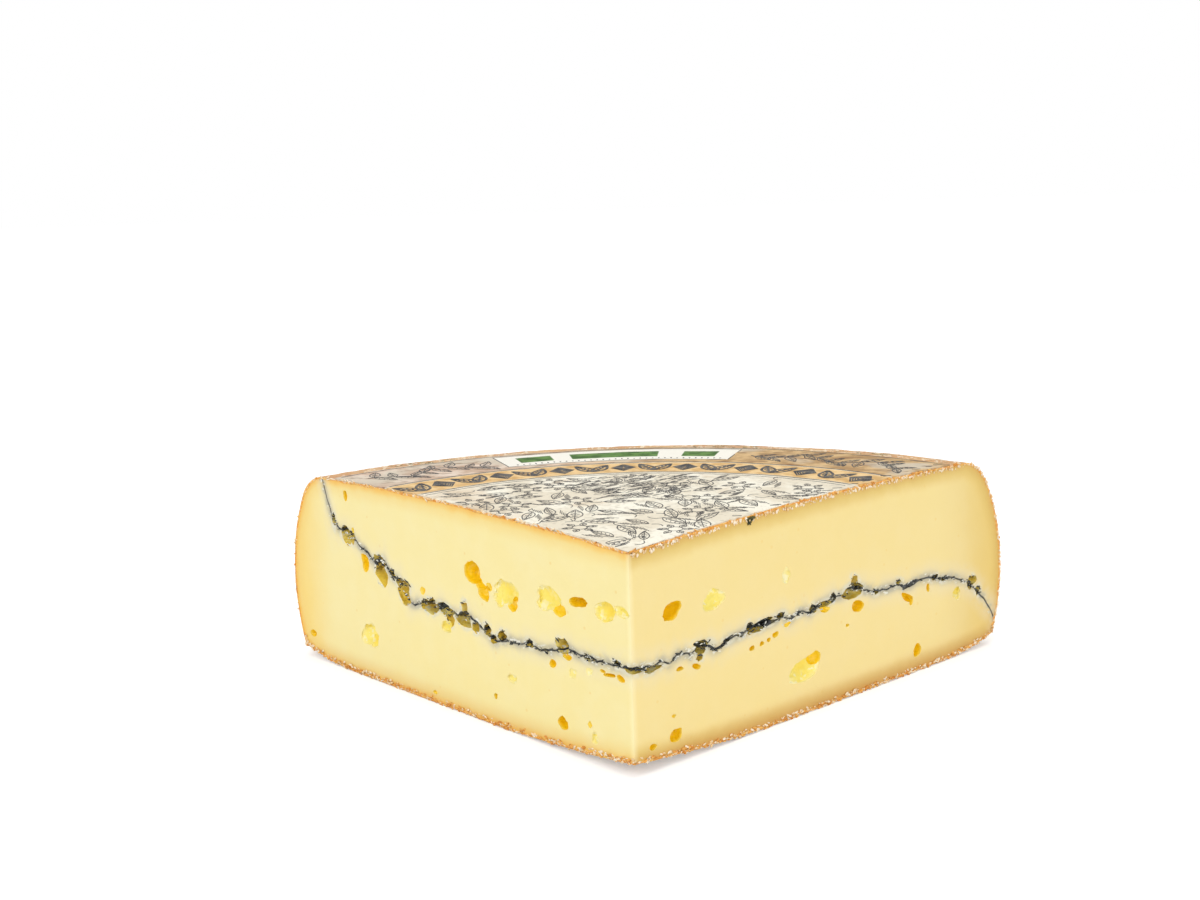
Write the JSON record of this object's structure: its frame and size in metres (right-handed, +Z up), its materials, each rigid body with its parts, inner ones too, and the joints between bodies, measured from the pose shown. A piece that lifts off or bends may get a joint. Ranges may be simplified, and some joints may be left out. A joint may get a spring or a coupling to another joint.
{
  "type": "wedge of morbier cheese",
  "caption": "Quarter of a flat cheese wheel with a dark ash layer across its cut faces and a paper label on top.",
  "frame": {"origin": "middle of the box's underside, on the table", "axes": "+Z up along the wheel's axis; the pointed edge where the cut faces meet is at -Y, and the rind at +Y; +X to the right seen from the point"},
  "size_m": [0.2538, 0.1794, 0.0698],
  "materials": {
    "paste": "moist, slightly glossy pale yellow paste with a rind of orange-brown on its outer skin",
    "ash": "matt, blue-black",
    "label": "matt printed paper"
  },
  "bodies": {
    "root": {"lower_paste": "paste", "ash_layer": "ash", "upper_paste": "paste", "paper_label": "label"}
  },
  "joints": []
}
